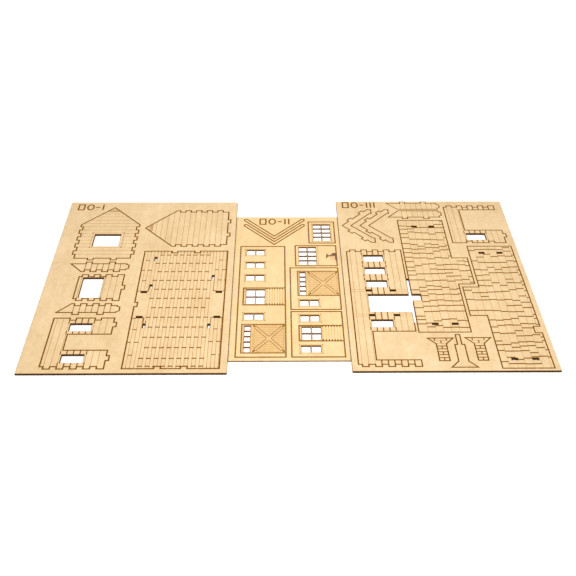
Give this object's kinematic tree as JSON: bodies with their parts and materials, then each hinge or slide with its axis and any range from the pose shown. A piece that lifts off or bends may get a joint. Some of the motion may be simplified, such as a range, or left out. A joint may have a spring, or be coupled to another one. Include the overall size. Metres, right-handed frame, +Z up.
{
  "type": "laser-cut building kit sheets",
  "caption": "Three flat laser-cut fibreboard sheets of a plank-walled gabled building, with walls, roof halves, floor, rafters, linings and doors that press out of their frames.",
  "frame": {"origin": "centre of the underside of the three sheets together, on the table", "axes": "+X along the row of sheets from the left one to the right one, +Y away from the front edge, +Z up through the boards"},
  "size_m": [0.4156, 0.2234, 0.002],
  "materials": {
    "board_2mm": "raw fibreboard, laser-cut edges charred brown",
    "board_1mm": "raw thin fibreboard, laser-cut edges charred brown"
  },
  "bodies": {
    "left_sheet": {"left_sheet_frame": "board_2mm"},
    "middle_sheet": {"middle_sheet_frame": "board_1mm"},
    "right_sheet": {"right_sheet_frame": "board_2mm"},
    "gable_wall_with_window": {"gable_wall_with_window": "board_2mm"},
    "gable_wall_plain": {"gable_wall_plain": "board_2mm"},
    "bay_cheek_back": {"bay_cheek_back": "board_2mm"},
    "bay_front_wall": {"bay_front_wall": "board_2mm"},
    "bay_cheek_front": {"bay_cheek_front": "board_2mm"},
    "entry_wall": {"entry_wall": "board_2mm"},
    "floor_panel": {"floor_panel": "board_2mm"},
    "bargeboard_back": {"bargeboard_back": "board_1mm"},
    "bargeboard_front": {"bargeboard_front": "board_1mm"},
    "gable_window_frame": {"gable_window_frame": "board_1mm"},
    "bay_window_lining": {"bay_window_lining": "board_1mm"},
    "barn_wall_lining": {"barn_wall_lining": "board_1mm"},
    "barn_wall_door": {"barn_wall_door": "board_1mm"},
    "entry_wall_lining": {"entry_wall_lining": "board_1mm"},
    "entry_wall_door": {"entry_wall_door": "board_1mm"},
    "long_wall_lining": {"long_wall_lining": "board_1mm"},
    "long_wall_barn_door": {"long_wall_barn_door": "board_1mm"},
    "long_wall_double_door": {"long_wall_double_door": "board_1mm"},
    "rafter_pair_outer": {"rafter_pair_outer": "board_2mm"},
    "rafter_pair_inner": {"rafter_pair_inner": "board_2mm"},
    "plain_cheek_back": {"plain_cheek_back": "board_2mm"},
    "plain_cheek_front": {"plain_cheek_front": "board_2mm"},
    "barn_wall": {"barn_wall": "board_2mm"},
    "roof_half_left": {"roof_half_left": "board_2mm"},
    "roof_half_right": {"roof_half_right": "board_2mm"},
    "long_wall": {"long_wall": "board_2mm"},
    "chimney_face_left": {"chimney_face_left": "board_2mm"},
    "chimney_face_right": {"chimney_face_right": "board_2mm"},
    "chimney_core": {"chimney_core": "board_2mm"}
  },
  "joints": [
    {"name": "middle_sheet_lift", "type": "slide", "parent": "left_sheet", "child": "middle_sheet", "axis": [0, 0, 1], "range_m": [0, 0.03]},
    {"name": "right_sheet_lift", "type": "slide", "parent": "left_sheet", "child": "right_sheet", "axis": [0, 0, 1], "range_m": [0, 0.03]},
    {"name": "gable_wall_with_window_lift", "type": "slide", "parent": "left_sheet", "child": "gable_wall_with_window", "axis": [0, 0, 1], "range_m": [0, 0.025]},
    {"name": "gable_wall_plain_lift", "type": "slide", "parent": "left_sheet", "child": "gable_wall_plain", "axis": [0, 0, 1], "range_m": [0, 0.025]},
    {"name": "bay_cheek_back_lift", "type": "slide", "parent": "left_sheet", "child": "bay_cheek_back", "axis": [0, 0, 1], "range_m": [0, 0.025]},
    {"name": "bay_front_wall_lift", "type": "slide", "parent": "left_sheet", "child": "bay_front_wall", "axis": [0, 0, 1], "range_m": [0, 0.025]},
    {"name": "bay_cheek_front_lift", "type": "slide", "parent": "left_sheet", "child": "bay_cheek_front", "axis": [0, 0, 1], "range_m": [0, 0.025]},
    {"name": "entry_wall_lift", "type": "slide", "parent": "left_sheet", "child": "entry_wall", "axis": [0, 0, 1], "range_m": [0, 0.025]},
    {"name": "floor_panel_lift", "type": "slide", "parent": "left_sheet", "child": "floor_panel", "axis": [0, 0, 1], "range_m": [0, 0.025]},
    {"name": "bargeboard_back_lift", "type": "slide", "parent": "middle_sheet", "child": "bargeboard_back", "axis": [0, 0, 1], "range_m": [0, 0.02]},
    {"name": "bargeboard_front_lift", "type": "slide", "parent": "middle_sheet", "child": "bargeboard_front", "axis": [0, 0, 1], "range_m": [0, 0.02]},
    {"name": "gable_window_frame_lift", "type": "slide", "parent": "middle_sheet", "child": "gable_window_frame", "axis": [0, 0, 1], "range_m": [0, 0.02]},
    {"name": "bay_window_lining_lift", "type": "slide", "parent": "middle_sheet", "child": "bay_window_lining", "axis": [0, 0, 1], "range_m": [0, 0.02]},
    {"name": "barn_wall_lining_lift", "type": "slide", "parent": "middle_sheet", "child": "barn_wall_lining", "axis": [0, 0, 1], "range_m": [0, 0.02]},
    {"name": "barn_wall_door_lift", "type": "slide", "parent": "barn_wall_lining", "child": "barn_wall_door", "axis": [0, 0, 1], "range_m": [0, 0.01]},
    {"name": "entry_wall_lining_lift", "type": "slide", "parent": "middle_sheet", "child": "entry_wall_lining", "axis": [0, 0, 1], "range_m": [0, 0.02]},
    {"name": "entry_wall_door_lift", "type": "slide", "parent": "entry_wall_lining", "child": "entry_wall_door", "axis": [0, 0, 1], "range_m": [0, 0.01]},
    {"name": "long_wall_lining_lift", "type": "slide", "parent": "middle_sheet", "child": "long_wall_lining", "axis": [0, 0, 1], "range_m": [0, 0.02]},
    {"name": "long_wall_barn_door_lift", "type": "slide", "parent": "long_wall_lining", "child": "long_wall_barn_door", "axis": [0, 0, 1], "range_m": [0, 0.01]},
    {"name": "long_wall_double_door_lift", "type": "slide", "parent": "long_wall_lining", "child": "long_wall_double_door", "axis": [0, 0, 1], "range_m": [0, 0.01]},
    {"name": "rafter_pair_outer_lift", "type": "slide", "parent": "right_sheet", "child": "rafter_pair_outer", "axis": [0, 0, 1], "range_m": [0, 0.025]},
    {"name": "rafter_pair_inner_lift", "type": "slide", "parent": "right_sheet", "child": "rafter_pair_inner", "axis": [0, 0, 1], "range_m": [0, 0.025]},
    {"name": "plain_cheek_back_lift", "type": "slide", "parent": "right_sheet", "child": "plain_cheek_back", "axis": [0, 0, 1], "range_m": [0, 0.025]},
    {"name": "plain_cheek_front_lift", "type": "slide", "parent": "right_sheet", "child": "plain_cheek_front", "axis": [0, 0, 1], "range_m": [0, 0.025]},
    {"name": "barn_wall_lift", "type": "slide", "parent": "right_sheet", "child": "barn_wall", "axis": [0, 0, 1], "range_m": [0, 0.025]},
    {"name": "roof_half_left_lift", "type": "slide", "parent": "right_sheet", "child": "roof_half_left", "axis": [0, 0, 1], "range_m": [0, 0.025]},
    {"name": "roof_half_right_lift", "type": "slide", "parent": "right_sheet", "child": "roof_half_right", "axis": [0, 0, 1], "range_m": [0, 0.025]},
    {"name": "long_wall_lift", "type": "slide", "parent": "right_sheet", "child": "long_wall", "axis": [0, 0, 1], "range_m": [0, 0.025]},
    {"name": "chimney_face_left_lift", "type": "slide", "parent": "right_sheet", "child": "chimney_face_left", "axis": [0, 0, 1], "range_m": [0, 0.025]},
    {"name": "chimney_face_right_lift", "type": "slide", "parent": "right_sheet", "child": "chimney_face_right", "axis": [0, 0, 1], "range_m": [0, 0.025]},
    {"name": "chimney_core_lift", "type": "slide", "parent": "right_sheet", "child": "chimney_core", "axis": [0, 0, 1], "range_m": [0, 0.025]}
  ]
}
